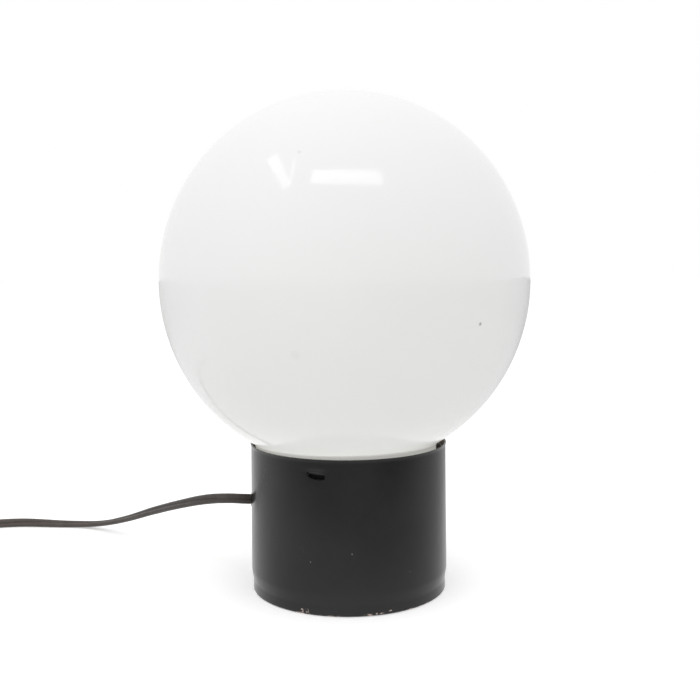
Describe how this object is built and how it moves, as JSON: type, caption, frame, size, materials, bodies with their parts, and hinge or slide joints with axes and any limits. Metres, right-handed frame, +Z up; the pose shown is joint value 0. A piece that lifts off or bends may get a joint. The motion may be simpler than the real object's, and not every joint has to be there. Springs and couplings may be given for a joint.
{
  "type": "globe table lamp",
  "caption": "Table lamp with an opal glass globe resting in the mouth of a short black steel tube, with a flat cord, in-line switch and plug.",
  "frame": {"origin": "middle of the felt pad's underside, on the surface the lamp stands on and on the tube's axis", "axes": "+Z up along the tube's axis; the cord leaves the tube towards -X; the front, as pictured, faces -Y"},
  "size_m": [0.3953, 0.2208, 0.2731],
  "materials": {
    "opal_glass": "glossy white opal",
    "black_paint": "gloss baked enamel",
    "dark_steel": "dark brown dip paint",
    "black_rubber": "matte",
    "felt": "pressed wool felt",
    "bushing_plastic": "matte",
    "zinc_steel": "zinc plated",
    "cord_vinyl": "satin brown vinyl",
    "socket_brass": "brass plated, satin",
    "fibre": "pressed card",
    "brown_phenolic": "moulded",
    "contact_brass": "plain",
    "solder": "dull solder",
    "black_glass": "black glass",
    "bulb_metal": "rolled",
    "frosted_glass": "frosted",
    "clear_glass": "clear",
    "nickel_wire": "drawn",
    "tungsten": "dull",
    "brown_plastic": "moulded brown",
    "wheel_plastic": "moulded dark brown",
    "tie_plastic": "black"
  },
  "bodies": {
    "lamp": {"globe_gasket": "black_rubber", "base_tube": "black_paint", "globe_pan": "dark_steel", "bottom_pan": "dark_steel", "felt_pad": "felt", "cord_bushing": "bushing_plastic", "cord_clip": "zinc_steel", "cord_inner": "cord_vinyl", "lead_hot": "cord_vinyl", "lead_neutral": "cord_vinyl", "nipple": "zinc_steel", "locknut": "zinc_steel", "lock_washer": "zinc_steel", "socket_cap": "socket_brass", "cap_screw": "zinc_steel", "socket_shell": "socket_brass", "shell_sleeve": "fibre", "socket_body": "brown_phenolic", "screw_shell": "contact_brass", "centre_contact": "contact_brass", "terminal_screws": "contact_brass", "switch_base": "brown_plastic", "switch_cover": "brown_plastic", "switch_contacts": "contact_brass", "switch_leads": "cord_vinyl", "switch_screw": "zinc_steel", "cord_run": "cord_vinyl", "cord_mid": "cord_vinyl", "cord_coil": "cord_vinyl", "cord_tail": "cord_vinyl", "coil_tie": "tie_plastic", "plug_body": "brown_plastic", "plug_blades": "contact_brass"},
    "globe": {"globe": "opal_glass"},
    "bulb_end": {"bulb_tip": "solder"},
    "bulb": {"bulb_insulator": "black_glass", "bulb_shell": "bulb_metal", "bulb_glass": "frosted_glass", "bulb_stem": "clear_glass", "filament_wires": "nickel_wire", "filament": "tungsten"},
    "switch_wheel": {"switch_wheel": "wheel_plastic"}
  },
  "joints": [
    {"name": "globe_lift", "type": "slide", "parent": "lamp", "child": "globe", "axis": [0, 0, 1], "range_m": [0, 0.15]},
    {"name": "bulb_rise", "type": "slide", "parent": "lamp", "child": "bulb_end", "axis": [0, 0, 1], "range_m": [0, 0.01815]},
    {"name": "bulb_turn", "type": "hinge", "parent": "bulb_end", "child": "bulb", "pos_m": [0, 0, 0.12], "axis": [0, 0, 1], "range_deg": [0, 1800]},
    {"name": "switch_turn", "type": "hinge", "parent": "lamp", "child": "switch_wheel", "pos_m": [-0.2787, 0.02, 0.007], "axis": [0, 0, 1], "continuous": true}
  ],
  "couplings": [
    {"joint": "bulb_rise", "follows": "bulb_turn", "m_per_rad": 0.00057757}
  ]
}
